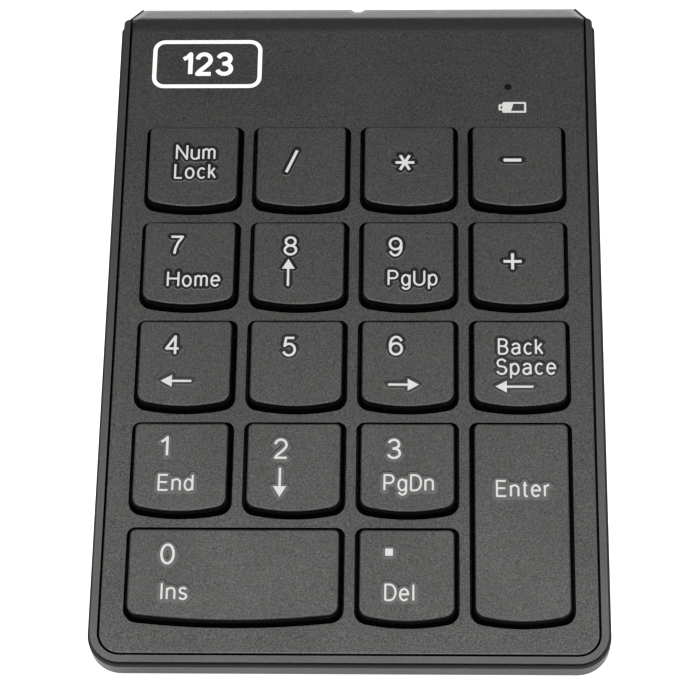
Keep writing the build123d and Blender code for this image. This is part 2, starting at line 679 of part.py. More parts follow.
def guide_tube(long_key):
    outer = GUIDE_OUTER
    tube = block(-outer, outer, -outer, outer, GUIDE_BOTTOM, GUIDE_TUBE_TOP)
    reach, half_ledge, ledge_bottom = GUIDE_LEDGE
    tube += leg_pair(outer - 0.5, outer + reach, half_ledge, ledge_bottom, GUIDE_TUBE_TOP)
    if long_key:
        place, half, front, rear, top = WIRE_CLIP
        for x in (-place, place):
            tube += block(x - half, x + half, front, rear, GUIDE_TOP - 0.1, top)
    return tube


def guide_openings(long_key):
    """The bore for the stem, windows under the hooks, and those a long key's ears drop into."""
    bore = GUIDE_BORE
    cut = block(-bore, bore, -bore, bore, GUIDE_BOTTOM - 1, 0)
    reach, half_window, window_top = HOOK_WINDOW
    cut += leg_pair(GUIDE_OUTER, GUIDE_OUTER + reach, half_window, GUIDE_BOTTOM - 1, window_top)
    if long_key:
        room = EAR_HALF + 0.8
        ears = leg_pair(EAR_INNER - 0.3, EAR_OUTER + 0.3, room, GUIDE_BOTTOM - 1, GUIDE_TOP + 0.1)
        cut += Pos(0, EAR_MIDDLE, 0) * ears
        bar = Rot(0, 90, 0) * Cylinder(WIRE_RADIUS + WIRE_SLACK, 20)
        cut += Pos(0, WIRE_OFFSET, WIRE_LEVEL) * bar
    return cut


def sheet(top, thickness):
    """One flat sheet of the stack, punched for the heat stakes."""
    half = SHEET_HALF_WIDTH
    body = block(-half, half, SHEET_FRONT, SHEET_REAR, top - thickness, top)
    for x, y in stake_places():
        body -= post(x, y, top - 2, top + 1, STAKE_HOLE)
    return body


def circuit_sheet(layer):
    return sheet(MEMBRANE_TOP - layer * SHEET_THICKNESS, SHEET_THICKNESS)


def lower_circuit_sheet():
    """The lowest circuit layer, with the tail that climbs onto the circuit board."""
    low = MEMBRANE_TOP - 3 * SHEET_THICKNESS
    root, bend_low, bend_high, tip_y = TAIL_BENDS
    fold = 0.08                 # how much nearer the upper side's bends are
    outline = [
        (root, low),
        (bend_low, low),
        (bend_high, BOARD_TOP),
        (tip_y, BOARD_TOP),
        (tip_y, BOARD_TOP + SHEET_THICKNESS),
        (bend_high - fold, BOARD_TOP + SHEET_THICKNESS),
        (bend_low - fold, low + SHEET_THICKNESS),
        (root, low + SHEET_THICKNESS),
    ]
    return circuit_sheet(2) + side_sweep(outline, TAIL_HALF_WIDTH)


def backing_plate():
    return sheet(MEMBRANE_TOP - 3 * SHEET_THICKNESS, BACKING_THICKNESS)


# ------------------------------------------------------------------ electronics and battery
def main_board():
    board = block(-BOARD_HALF_WIDTH, BOARD_HALF_WIDTH, BOARD_FRONT, BOARD_REAR, BOARD_BOTTOM, BOARD_TOP)
    for x, y in BOARD_SCREWS:
        board -= post(x, y, BOARD_BOTTOM - 1, BOARD_TOP + 1, 1.0)
    return board


def controller_chip():
    x, y, half, height = CHIP
    count, pitch, width, thickness = PINS
    body = block(x - half, x + half, y - half, y + half, BOARD_TOP + 0.1, BOARD_TOP + height)
    for pin in range(count):
        start = y - 3.0 + pitch * pin
        body += block(x - half - 1, x + half + 1, start, start + width, BOARD_TOP, BOARD_TOP + thickness)
    return body


def status_led():
    x, y = LED_PLACE
    long_half, half, base_height = LED_BASE
    lens_half, lens_height = LED_LENS
    middle = BOARD_TOP + base_height
    base = block(x - long_half, x + long_half, y - half, y + half, BOARD_TOP, middle)
    return base + block(x - lens_half, x + lens_half, y - half, y + half, middle, middle + lens_height)


def indicator_window():
    """Clear pin in the cover's small hole, with a flange against the cover's underside."""
    x, y = LED_PLACE
    low = BOARD_TOP + 0.8
    pin = post(x, y, low, -0.2, WINDOW_PIN)
    return pin + post(x, y, low, -PLATE_THICKNESS, WINDOW_FLANGE)


def pressure_pad():
    half, front, rear = PAD
    return block(-half, half, front, rear, BOARD_TOP + SHEET_THICKNESS, -PLATE_THICKNESS)


def switch_body():
    half, front, height = SWITCH_BODY
    low, high = SWITCH_LEVELS
    body = block(SWITCH_X - half, SWITCH_X + half, front, BOARD_REAR, BOARD_BOTTOM - height, BOARD_BOTTOM)
    slot = SWITCH_STROKE / 2 + 1.1
    return body - block(SWITCH_X - slot, SWITCH_X + slot, front + 1.5, BOARD_REAR + 1, low - 0.1, high + 0.1)


def switch_knob():
    """Sliding knob, drawn at the off end of its stroke, with three grip ribs."""
    x = SWITCH_X - SWITCH_STROKE / 2
    low, high = SWITCH_LEVELS
    end = CASE_REAR + 0.3
    body = block(x - 1, x + 1, SWITCH_BODY[1] + 1.7, end, low, high)
    for rib in KNOB_RIBS:
        body += block(x + rib - 0.15, x + rib + 0.15, end - 0.2, end + 0.25, low, high)
    return body


def battery_cell():
    """AAA cell lying across the case, its small terminal to the right."""
    turn = Location((CELL_X, CELL_Y, CELL_Z), (0, 90, 0))
    radius, length = CELL_TERMINAL
    can = Cylinder(CELL_RADIUS, CELL_LENGTH - length)
    can = fillet(can.edges(), 0.5)
    terminal = Pos(0, 0, (CELL_LENGTH - length) / 2) * Cylinder(radius, length)
    return turn * (Pos(0, 0, -length / 2) * can + terminal)


def contact_plate(x0, x1):
    """Upright contact leaf with a tab through the compartment's ceiling to the board."""
    half, tall, _ = CONTACT_LEAF
    leaf = block(x0, x1, CELL_Y - half, CELL_Y + half, CELL_Z - tall, CELL_Z + tall)
    return leaf + block(x0, x1, CELL_Y - CONTACT_TAB, CELL_Y + CONTACT_TAB, CELL_Z, BOARD_BOTTOM)


def positive_contact():
    """Flat leaf with a pressed boss that meets the cell's small terminal."""
    x1 = CELL_ROOM[0] - 0.1
    x0 = x1 - CONTACT_LEAF[2]
    cell_end = CELL_X + CELL_LENGTH / 2
    middle = Location(((cell_end + x0) / 2, CELL_Y, CELL_Z), (0, 90, 0))
    boss = middle * Cylinder(CONTACT_BOSS, x0 - cell_end)
    return contact_plate(x0, x1) + boss


def negative_contact():
    """Flat leaf that carries a tapered coil spring against the cell's flat end."""
    x0 = 0.1 - CELL_ROOM[0]
    x1 = x0 + CONTACT_LEAF[2]
    length = CELL_X - CELL_LENGTH / 2 - x1
    spring = tapered_spring(length, *SPRING)
    return contact_plate(x0, x1) + Location((x1, CELL_Y, CELL_Z), (0, 90, 0)) * spring


def tapered_spring(length, base_radius, tip_radius, turns, wire):
    """Coil along Z from a leaf at Z = 0, its turns drawn as short runs and tangent arcs."""
    sides = 6
    count = sides * turns + 1
    points, bends = [], []
    for step in range(count):
        share = step / (count - 1)
        radius = base_radius + (tip_radius - base_radius) * share
        angle = 2 * math.pi * step / sides
        height = 0.8 * wire + (length - 1.8 * wire) * share
        points.append((radius * math.cos(angle), radius * math.sin(angle), height))
        bends.append(0.75 * radius)
    path = FilletPolyline(*points, radius=bends[1:-1])
    start = Plane(origin=path @ 0, z_dir=path % 0)
    return sweep(start * Circle(wire), path)


# ------------------------------------------------------------------ feet and fasteners
def rubber_feet():
    """Round feet cut level where they stand on the desk."""
    feet = []
    for side in (-1, 1):
        x, y = side * FRONT_FEET[0], FRONT_FEET[1]
        front = tip(post(x, y, FLOOR_BOTTOM - 4, FLOOR_BOTTOM + FOOT_SEAT, FOOT_RADIUS))
        feet.append(front & above(0))
        rear_x, rear_y = side * REAR_FEET[0], REAR_FEET[1]
        feet.append(post(rear_x, rear_y, 0, FOOT_HEIGHT + FOOT_SEAT, FOOT_RADIUS))
    return group(feet)


def screw(head_z, tip_z, direction):
    """Pan-head self-tapping screw with a cross recess, its head's underside at head_z."""
    radius, height = SCREW_HEAD
    long, thin, depth = SCREW_CROSS
    head_end = head_z - direction * height
    head = post(0, 0, *sorted((head_z, head_end)), radius)
    shank = post(0, 0, *sorted((head_z, tip_z)), SCREW_SHANK)
    low, high = sorted((head_end, head_end + direction * depth))
    cross = block(-long, long, -thin, thin, low, high) + block(-thin, thin, -long, long, low, high)
    return head + shank - cross


def case_screws():
    body = screw(FLOOR_BOTTOM + 1.0, -2.2, 1)
    return group([Pos(x, y, 0) * body for x, y in screw_places()])


def board_screws():
    body = screw(BOARD_TOP, BOARD_SCREW_TIP, -1)
    return group([Pos(x, y, 0) * body for x, y in BOARD_SCREWS])


# ------------------------------------------------------------------ all pieces
def build_all():
    """Every node's solids, in the tipped frame."""
    pieces = {
        "top_cover": tip(top_cover()),
        "side_frame": tip(side_frame()),
        "bottom_case": bottom_case(),
        "battery_door": battery_door(),
        "key_guide_plate": tip(guide_plate()),
        "upper_circuit_sheet": tip(circuit_sheet(0)),
        "spacer_sheet": tip(circuit_sheet(1)),
        "lower_circuit_sheet": tip(lower_circuit_sheet()),
        "backing_plate": tip(backing_plate()),
        "main_circuit_board": tip(main_board()),
        "controller_chip": tip(controller_chip()),
        "status_led": tip(status_led()),
        "indicator_window": tip(indicator_window()),
        "membrane_pressure_pad": tip(pressure_pad()),
        "power_switch_body": tip(switch_body()),
        "power_switch_knob": tip(switch_knob()),
        "battery_cell": tip(battery_cell()),
        "positive_contact": tip(positive_contact()),
        "negative_contact_spring": tip(negative_contact()),
        "rubber_feet": rubber_feet(),
        "case_screws": tip(case_screws()),
        "board_screws": tip(board_screws()),
    }
    for name in KEYS:
        pieces["key_" + name] = tip(keycap(name))
        pieces["dome_" + name] = tip(rubber_dome(name))
        if is_long(name):
            pieces["stabilizer_wire_" + name] = tip(stabilizer_wire(name))
    return pieces


def main():
    pieces = build_all()
    boxes = [shape.bounding_box() for shape in pieces.values()]
    front = min(box.min.Y for box in boxes)
    rear = max(box.max.Y for box in boxes)
    shift = Pos(0, -(front + rear) / 2, 0)
    print("moved along Y by", -(front + rear) / 2)
    for node, shape in pieces.items():
        export_step(shift * shape, f"parts/{node}.step")


main()
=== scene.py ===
import json
import math

import bpy
from mathutils import Matrix, Vector
from mathutils.bvhtree import BVHTree
from mathutils.geometry import delaunay_2d_cdt


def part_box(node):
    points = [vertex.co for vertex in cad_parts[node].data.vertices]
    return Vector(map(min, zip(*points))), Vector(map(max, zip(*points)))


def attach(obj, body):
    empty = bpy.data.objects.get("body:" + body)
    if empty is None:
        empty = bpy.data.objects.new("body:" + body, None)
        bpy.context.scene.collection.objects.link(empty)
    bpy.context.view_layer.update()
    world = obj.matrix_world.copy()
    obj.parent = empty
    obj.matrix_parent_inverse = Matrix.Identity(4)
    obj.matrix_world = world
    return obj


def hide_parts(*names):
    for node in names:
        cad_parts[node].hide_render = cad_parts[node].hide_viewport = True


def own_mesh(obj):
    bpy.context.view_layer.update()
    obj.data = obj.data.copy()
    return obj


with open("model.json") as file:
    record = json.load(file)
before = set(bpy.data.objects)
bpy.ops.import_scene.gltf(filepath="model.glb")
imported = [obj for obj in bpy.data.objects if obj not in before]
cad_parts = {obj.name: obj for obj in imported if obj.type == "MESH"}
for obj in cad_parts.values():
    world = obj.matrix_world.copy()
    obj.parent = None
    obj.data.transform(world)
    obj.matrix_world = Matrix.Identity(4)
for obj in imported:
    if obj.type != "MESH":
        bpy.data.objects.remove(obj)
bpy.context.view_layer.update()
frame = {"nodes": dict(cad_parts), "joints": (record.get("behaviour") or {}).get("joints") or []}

MM = 0.001

# ------------------------------------------------------------------ the cover's own axes
# Flat places on the keypad are given in millimetres along these axes: X across, Y up the sloping
# cover, Z square to it. Keys slide along Z.
PRESS_JOINTS = [joint for joint in frame["joints"] if joint["name"].startswith("press_")]
NORMAL = -Vector(PRESS_JOINTS[0]["axis"]).normalized()
ACROSS = Vector((1, 0, 0))
UP_PLATE = NORMAL.cross(ACROSS)
KEY_NODES = sorted(joint["name"].replace("press_", "key_") for joint in PRESS_JOINTS)


def to_cover(point):
    """A point of the row frame, in millimetres along the cover's axes."""
    return Vector((point.dot(ACROSS), point.dot(UP_PLATE), point.dot(NORMAL))) / MM


def to_row(x, y, z):
    """Millimetres along the cover's axes, as a point of the row frame."""
    return (ACROSS * x + UP_PLATE * y + NORMAL * z) * MM


def cover_box(node):
    """Lowest and highest corner of a CAD node along the cover's axes, in millimetres."""
    points = [to_cover(vertex.co) for vertex in frame["nodes"][node].data.vertices]
    low = Vector(min(p[i] for p in points) for i in range(3))
    high = Vector(max(p[i] for p in points) for i in range(3))
    return low, high


COVER_LOW, COVER_HIGH = cover_box("top_cover")
REAR_ROW = cover_box("key_num_lock")[1].y       # rear edge of the rear row of keys


# ------------------------------------------------------------------ camera, lights and floor
LOOK_AT = (-0.46, -43.2)        # from the middle of the rear row's rear edge, on the cover
CAMERA_AZIMUTH = 4.41
CAMERA_ELEVATION = 65.58        # above the cover
CAMERA_ROLL = -3.97
CAMERA_DISTANCE = 451.7
CAMERA_LENS = 135.63            # for a sensor 36 mm wide


def add_object(name, data):
    thing = bpy.data.objects.new(name, data)
    bpy.context.scene.collection.objects.link(thing)
    return thing


def add_camera():
    azimuth = math.radians(CAMERA_AZIMUTH)
    elevation = math.radians(CAMERA_ELEVATION)
    roll = math.radians(CAMERA_ROLL)
    back = ACROSS * math.sin(azimuth) * math.cos(elevation)
    back += -UP_PLATE * math.cos(azimuth) * math.cos(elevation) + NORMAL * math.sin(elevation)
    level = (-back).cross(NORMAL).normalized()
    upright = level.cross(-back)
    right = level * math.cos(roll) + upright * math.sin(roll)
    up = upright * math.cos(roll) - level * math.sin(roll)
    target = to_row(LOOK_AT[0], REAR_ROW + LOOK_AT[1], COVER_HIGH.z)
    data = bpy.data.cameras.new("camera")
    data.lens = CAMERA_LENS
    data.sensor_width = 36.0
    data.clip_start = 0.01
    data.clip_end = 20.0
    camera = add_object("camera", data)
    turn = Matrix((right, up, back)).transposed().to_4x4()
    camera.matrix_world = Matrix.Translation(target + back * CAMERA_DISTANCE * MM) @ turn
    bpy.context.scene.camera = camera


SOFTBOX_HEIGHT = 800.0          # above the cover
SOFTBOX_FRONT, SOFTBOX_REAR = -600.0, 320.0     # the rear edge is what fades the rear rows
SOFTBOX_WIDTH = 1200.0
SOFTBOX_RADIANCE = 3.5
BACKDROP_STRENGTH = 0.16
FLOOR_HALF = 3.0                # metres


def add_softbox():
    """A rectangular light facing straight down on the cover."""
    data = bpy.data.lights.new("overhead_softbox", "AREA")
    data.shape = "RECTANGLE"
    data.size = SOFTBOX_WIDTH * MM
    data.size_y = (SOFTBOX_REAR - SOFTBOX_FRONT) * MM
    data.energy = SOFTBOX_RADIANCE * math.pi * data.size * data.size_y
    data.color = (1.0, 0.985, 0.965)
    light = add_object("overhead_softbox", data)
    light.location = to_row(0.0, (SOFTBOX_FRONT + SOFTBOX_REAR) / 2, SOFTBOX_HEIGHT)
    light.rotation_euler = NORMAL.to_track_quat("Z", "Y").to_euler()


def add_lights():
    add_softbox()
    world = bpy.data.worlds.new("studio")
    bpy.context.scene.world = world
    world.use_nodes = True
    backdrop = world.node_tree.nodes["Background"]
    backdrop.inputs["Color"].default_value = (1.0, 1.0, 1.0, 1.0)
    backdrop.inputs["Strength"].default_value = BACKDROP_STRENGTH
    bpy.context.scene.view_settings.view_transform = "Standard"


def add_floor():
    corners = [(x * FLOOR_HALF, y * FLOOR_HALF, 0) for x, y in ((-1, -1), (1, -1), (1, 1), (-1, 1))]
    mesh = bpy.data.meshes.new("floor")
    mesh.from_pydata(corners, [], [(0, 1, 2, 3)])
    floor = add_object("floor", mesh)
    floor.data.materials.append(plain_floor())


# ------------------------------------------------------------------ shader helpers
class Shader:
    """A material's nodes, with short ways to add and join them."""

    def __init__(self, name, colour, roughness, metallic=0.0):
        self.material = bpy.data.materials.new(name)
        self.material.use_nodes = True
        self.nodes = self.material.node_tree.nodes
        self.links = self.material.node_tree.links
        self.surface = self.nodes["Principled BSDF"]
        self.surface.inputs["Base Color"].default_value = (*colour, 1.0)
        self.surface.inputs["Roughness"].default_value = roughness
        self.surface.inputs["Metallic"].default_value = metallic
        self.place = self.add("ShaderNodeTexCoord").outputs["Object"]
        self.relief = None

    def add(self, kind, *inputs, settings=(), **named_inputs):
        """A node with its settings and inputs, in order or by name: values or other nodes' outputs."""
        node = self.nodes.new(kind)
        for key, value in dict(settings).items():
            setattr(node, key, value)
        for key, value in [*enumerate(inputs), *named_inputs.items()]:
            self.feed(node.inputs[key], value)
        return node

    def feed(self, socket, value):
        if isinstance(value, bpy.types.NodeSocket):
            self.links.new(value, socket)
        else:
            socket.default_value = value

    def noise(self, size, detail=2.0, roughness=0.5, place=None):
        """Noise whose features are about a size, in millimetres."""
        node = self.add("ShaderNodeTexNoise", Scale=1 / (size * MM), Detail=detail, Roughness=roughness)
        self.feed(node.inputs["Vector"], place or self.place)
        return node.outputs["Fac"]

    def ramp(self, value, low, high, start=0.0, end=1.0):
        """A value mapped from low..high to start..end, and held there."""
        return self.add("ShaderNodeMapRange", value, low, high, start, end).outputs[0]

    def maths(self, operation, first, second):
        return self.add("ShaderNodeMath", first, second, settings={"operation": operation}).outputs[0]

    def dot(self, first, second):
        """Dot product of two vectors, or their sockets."""
        node = self.add("ShaderNodeVectorMath", first, second, settings={"operation": "DOT_PRODUCT"})
        return node.outputs["Value"]

    def mix(self, share, first, second):
        """Two colours, or their sockets, mixed by a share."""
        node = self.add("ShaderNodeMix", share, settings={"data_type": "RGBA"})
        for name, colour in (("A", first), ("B", second)):
            socket = next(i for i in node.inputs if i.name == name and i.type == "RGBA")
            self.feed(socket, (*colour, 1.0) if isinstance(colour, tuple) else colour)
        return next(o for o in node.outputs if o.type == "RGBA")

    def facing(self, direction):
        """How squarely the surface faces a fixed direction of the object, from -1 to 1."""
        return self.dot(self.add("ShaderNodeTexCoord").outputs["Normal"], direction)

    def along(self, direction):
        """Distance along a direction of the object, in metres."""
        return self.dot(self.place, direction)

    def rounded_normal(self, radius, samples):
        """The normal as if edges were rounded to a radius in millimetres."""
        return self.add("ShaderNodeBevel", Radius=radius * MM, settings={"samples": samples}).outputs[0]

    def edges(self, radius):
        """1 on sharp edges, fading to 0 over a radius in millimetres."""
        hard = self.add("ShaderNodeNewGeometry").outputs["Normal"]
        return self.ramp(self.dot(self.rounded_normal(radius, 4), hard), 0.995, 0.85)

    def tracks(self, length, pitch, line, stagger):
        """1 on lines round staggered bricks, with sizes in millimetres."""
        bricks = self.add("ShaderNodeTexBrick", self.place, settings={"offset": stagger}, Scale=1.0)
        bricks.inputs["Mortar Size"].default_value = line * MM
        bricks.inputs["Brick Width"].default_value = length * MM
        bricks.inputs["Row Height"].default_value = pitch * MM
        return bricks.outputs["Fac"]

    def bump(self, height, depth):
        """Relief from a 0..1 height, as deep as a depth in millimetres."""
        self.relief = self.add("ShaderNodeBump", Strength=1.0, Distance=depth * MM, Height=height)
        self.set("Normal", self.relief.outputs[0])

    def round_off(self, share, radius):
        """Shade edges as if rounded to a radius in millimetres, where the share is 1."""
        hard = self.add("ShaderNodeNewGeometry").outputs["Normal"]
        node = self.add("ShaderNodeMix", share, settings={"data_type": "VECTOR"})
        for name, normal in (("A", hard), ("B", self.rounded_normal(radius, 8))):
            self.feed(next(i for i in node.inputs if i.name == name and i.type == "VECTOR"), normal)
        self.feed(self.relief.inputs["Normal"], next(o for o in node.outputs if o.type == "VECTOR"))

    def set(self, socket, value):
        self.feed(self.surface.inputs[socket], value)

    def present(self, socket):
        """What feeds one of the surface's sockets now."""
        return self.surface.inputs[socket].links[0].from_socket

    def blend(self, share, socket, value):
        """Keep a socket's present feed where the share is 1 and use a value where it is 0."""
        span = self.maths("MULTIPLY", share, self.maths("SUBTRACT", self.present(socket), value))
        self.set(socket, self.maths("ADD", value, span))


def scaled(colour, factor):
    return tuple(channel * factor for channel in colour)


def plain_floor():
    shader = Shader("floor_card", (0.86, 0.86, 0.86), 0.9)
    shader.set("Base Color", shader.mix(shader.noise(40.0), (0.85, 0.85, 0.85), (0.88, 0.88, 0.88)))
    shader.set("Emission Color", (1.0, 1.0, 1.0, 1.0))
    shader.set("Emission Strength", 0.8)
    return shader.material


def grained_plastic(name, colour, roughness, contrast, depth, edge_wear_and_highlight, shine=0.5):
    """Moulded plastic with a fine spark-eroded grain, slight mottling, and edges lightened: worn by rubbing,
    and a painted highlight along them.
    """
    shader = Shader(name, colour, roughness)
    grain = shader.noise(0.28, detail=2.0, roughness=0.7)
    speckle = shader.ramp(grain, 0.36, 0.64)
    mottle = shader.ramp(shader.noise(14.0, detail=3.0), 0.35, 0.65)
    base = shader.mix(speckle, scaled(colour, 1 - contrast), scaled(colour, 1 + contrast))
    base = shader.mix(shader.maths("MULTIPLY", mottle, 0.25), base, scaled(colour, 0.8))
    # Edges lightened towards 2.6 times the colour: partly worn by rubbing, partly a painted highlight where
    # edges catch light.
    wear_and_edge_highlight = shader.maths("MULTIPLY", shader.edges(0.35), edge_wear_and_highlight)
    base = shader.mix(wear_and_edge_highlight, base, scaled(colour, 2.6))
    shader.set("Base Color", base)
    rough = shader.ramp(mottle, 0.0, 1.0, roughness - 0.04, roughness + 0.04)
    shader.set("Roughness", shader.maths("SUBTRACT", rough, shader.maths("MULTIPLY", wear_and_edge_highlight, 0.15)))
    # for readers that drop the link below
    shader.set("Specular IOR Level", shine)     # the socket's own value, left under the link below
    glint = shader.ramp(speckle, 0.0, 1.0, shine * (1 - contrast), shine * (1 + contrast))
    shader.set("Specular IOR Level", glint)
    shader.bump(grain, depth)
    return shader


def plastic_with_painted_wall_shade(name, colour, roughness, contrast, depth, edge_wear_and_highlight, tilt=(0.5, 0.68)):
    """Grained where it faces up from the cover; polished and painted near black with little shine on its
    upright walls, as painted shade of gaps and recesses.
    """
    shader = grained_plastic(name, colour, roughness, contrast, depth, edge_wear_and_highlight)
    # Painted shade: upright walls take a near-black colour and low specular, for the shade that falls in
    # gaps and recesses.
    upward = shader.ramp(shader.facing(NORMAL), *tilt)
    painted_wall_shade = shader.mix(shader.noise(2.5), (0.0015, 0.0015, 0.0015), (0.003, 0.003, 0.003))
    shader.set("Base Color", shader.mix(upward, painted_wall_shade, shader.present("Base Color")))
    shader.blend(upward, "Roughness", shader.ramp(shader.noise(1.2), 0.3, 0.7, 0.18, 0.28))
    shader.blend(upward, "Specular IOR Level", 0.08)
    return shader


SLOPES_LENGTH = 6.5             # of the cover's two rear facets


def cover_material():
    """The cover's top is grained; its rear slopes are smooth and shinier."""
    colour = (0.0172, 0.0168, 0.0164)
    # Painted shade: the upright faces, the key holes' sides among them, are near black, so the gaps round
    # the keys read dark.
    shader = plastic_with_painted_wall_shade("cover_grain", colour, roughness=0.38, contrast=0.42, depth=0.014, edge_wear_and_highlight=0.3)
    level = shader.ramp(shader.facing(NORMAL), 0.982, 0.992)
    steep = shader.ramp(shader.facing(NORMAL), 0.7, 0.6)
    grained = shader.maths("MAXIMUM", level, steep)
    shader.blend(grained, "Roughness", shader.ramp(shader.noise(3.0), 0.3, 0.7, 0.19, 0.24))
    shader.blend(grained, "Specular IOR Level", 0.9)
    slopes = (COVER_HIGH.y - SLOPES_LENGTH) * MM
    shader.round_off(shader.ramp(shader.along(UP_PLATE), slopes, slopes + MM), 2.0)
    return shader.material


def keycap_material():
    colour = (0.0205, 0.0200, 0.0195)
    # Upright skirts near black: the keys' own black plastic, made darker still and with little shine as
    # painted shade of the gaps.
    shader = plastic_with_painted_wall_shade("keycap_grain", colour, roughness=0.37, contrast=0.38, depth=0.012, edge_wear_and_highlight=0.45)
    return shader.material


def rail_material():
    """Satin; painted shade makes it black already where its outer edge begins to turn down, standing for the
    dark line under the rail.
    """
    look = {"roughness": 0.31, "contrast": 0.12, "depth": 0.004, "edge_wear_and_highlight": 0.35, "tilt": (0.72, 0.9)}
    return plastic_with_painted_wall_shade("rail_satin", (0.022, 0.022, 0.022), **look).material


def case_material():
    look = {"roughness": 0.46, "contrast": 0.14, "depth": 0.006, "edge_wear_and_highlight": 0.35, "shine": 0.17}
    return grained_plastic("case_grain", (0.020, 0.020, 0.020), **look).material


def inner_plastic_material():
    look = {"roughness": 0.5, "contrast": 0.2, "depth": 0.006, "edge_wear_and_highlight": 0.2, "shine": 0.2}
    return grained_plastic("inner_black", (0.004, 0.004, 0.004), **look).material


def knob_material():
    look = {"roughness": 0.35, "contrast": 0.1, "depth": 0.003, "edge_wear_and_highlight": 0.5}
    return grained_plastic("knob_black", (0.015, 0.015, 0.015), **look).material


def rubber_material():
    shader = Shader("rubber_matt", (0.018, 0.018, 0.018), 0.85)
    dust = shader.ramp(shader.noise(0.9, detail=4.0), 0.45, 0.75)
    shader.set("Base Color", shader.mix(dust, (0.014, 0.014, 0.014), (0.030, 0.030, 0.029)))
    shader.set("Roughness", shader.ramp(dust, 0.0, 1.0, 0.75, 0.95))
    shader.bump(shader.noise(0.25), 0.01)
    return shader.material


def silicone_material():
    shader = Shader("silicone_milky", (0.62, 0.62, 0.60), 0.5)
    cloud = shader.noise(1.5, detail=3.0)
    shader.set("Base Color", shader.mix(cloud, (0.56, 0.56, 0.54), (0.68, 0.68, 0.66)))
    shader.set("Roughness", shader.ramp(cloud, 0.3, 0.7, 0.42, 0.58))
    shader.bump(shader.noise(0.3), 0.004)
    return shader.material


def film_material():
    """Polyester sheet with printed silver tracks, and a black margin behind the guide plate."""
    shader = Shader("film_tracks", (0.66, 0.70, 0.68), 0.25)
    lines = shader.tracks(length=19.0, pitch=3.2, line=0.35, stagger=0.35)
    track = shader.maths("MULTIPLY", lines, shader.ramp(shader.noise(6.0), 0.4, 0.42))
    clear = shader.mix(shader.noise(9.0), (0.62, 0.67, 0.65), (0.70, 0.73, 0.71))
    printed = shader.mix(track, clear, (0.32, 0.33, 0.34))
    plate_rear = (cover_box("key_guide_plate")[1].y - 0.4) * MM
    margin = shader.ramp(shader.along(UP_PLATE), plate_rear, plate_rear + 0.05 * MM)
    shader.set("Base Color", shader.mix(margin, printed, (0.004, 0.004, 0.004)))
    shader.set("Specular IOR Level", shader.ramp(margin, 0.0, 1.0, 0.5, 0.1))
    shader.set("Roughness", shader.ramp(track, 0.0, 1.0, 0.22, 0.5))
    shader.bump(track, 0.01)
    return shader.material


def metal_material(name, colour, roughness, grain_along, tarnish):
    """Plated sheet or wire with fine drawing lines along one direction."""
    shader = Shader(name, colour, roughness, metallic=1.0)
    squeeze = tuple(0.04 if abs(axis) > 0.5 else 1.0 for axis in grain_along)
    stretched = shader.add("ShaderNodeVectorMath", shader.place, squeeze, settings={"operation": "MULTIPLY"})
    lines = shader.noise(0.12, detail=3.0, place=stretched.outputs[0])
    blotch = shader.noise(5.0, detail=3.0)
    base = shader.mix(lines, scaled(colour, 0.82), scaled(colour, 1.1))
    dull = shader.maths("MULTIPLY", shader.ramp(blotch, 0.5, 0.8), tarnish)
    shader.set("Base Color", shader.mix(dull, base, scaled(colour, 0.45)))
    shader.set("Roughness", shader.ramp(blotch, 0.3, 0.7, roughness - 0.06, roughness + 0.08))
    shader.bump(lines, 0.003)
    return shader.material


def board_material():
    """Green solder mask over copper tracks."""
    shader = Shader("solder_mask", (0.012, 0.10, 0.045), 0.3)
    lines = shader.tracks(length=5.5, pitch=0.9, line=0.2, stagger=0.4)
    track = shader.maths("MULTIPLY", lines, shader.ramp(shader.noise(4.0), 0.45, 0.47))
    mask = shader.mix(shader.noise(3.0), (0.010, 0.085, 0.038), (0.016, 0.12, 0.055))
    shader.set("Base Color", shader.mix(track, mask, (0.035, 0.20, 0.09)))
    shader.set("Roughness", shader.ramp(shader.noise(1.5), 0.3, 0.7, 0.26, 0.36))
    shader.bump(track, 0.02)
    return shader.material


def chip_material():
    """Black package on tinned legs."""
    low, _ = cover_box("controller_chip")
    shader = Shader("chip_package", (0.014, 0.014, 0.015), 0.55)
    legs = shader.ramp(shader.along(NORMAL), (low.z + 0.24) * MM, (low.z + 0.2) * MM)
    body = shader.mix(shader.noise(0.2), (0.010, 0.010, 0.011), (0.022, 0.022, 0.023))
    shader.set("Base Color", shader.mix(legs, body, (0.60, 0.60, 0.58)))
    shader.set("Metallic", legs)
    shader.set("Roughness", shader.ramp(legs, 0.0, 1.0, 0.6, 0.3))
    shader.bump(shader.noise(0.15), 0.004)
    return shader.material


def lens_material(name, colour, roughness, transmission):
    shader = Shader(name, colour, roughness)
    shader.set("Base Color", shader.mix(shader.noise(0.4), scaled(colour, 0.9), scaled(colour, 1.1)))
    shader.set("Transmission Weight", transmission)
    shader.bump(shader.noise(0.3), 0.002)
    return shader.material


def cell_material():
    """Plain printed sleeve with a pale band by the bare terminal end."""
    low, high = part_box("battery_cell")
    shader = Shader("cell_sleeve", (0.03, 0.06, 0.16), 0.3)
    span = high.x - low.x
    band = shader.ramp(shader.along(ACROSS), low.x + 0.74 * span, low.x + 0.742 * span)
    bare = shader.ramp(shader.along(ACROSS), low.x + 0.965 * span, low.x + 0.967 * span)
    sleeve = shader.mix(shader.noise(2.0), (0.028, 0.055, 0.15), (0.036, 0.070, 0.18))
    base = shader.mix(band, sleeve, (0.45, 0.42, 0.34))
    shader.set("Base Color", shader.mix(bare, base, (0.62, 0.61, 0.59)))
    shader.set("Metallic", shader.maths("MAXIMUM", shader.maths("MULTIPLY", band, 0.6), bare))
    shader.set("Roughness", shader.ramp(shader.noise(1.0), 0.3, 0.7, 0.25, 0.36))
    shader.bump(shader.noise(0.5), 0.004)
    return shader.material


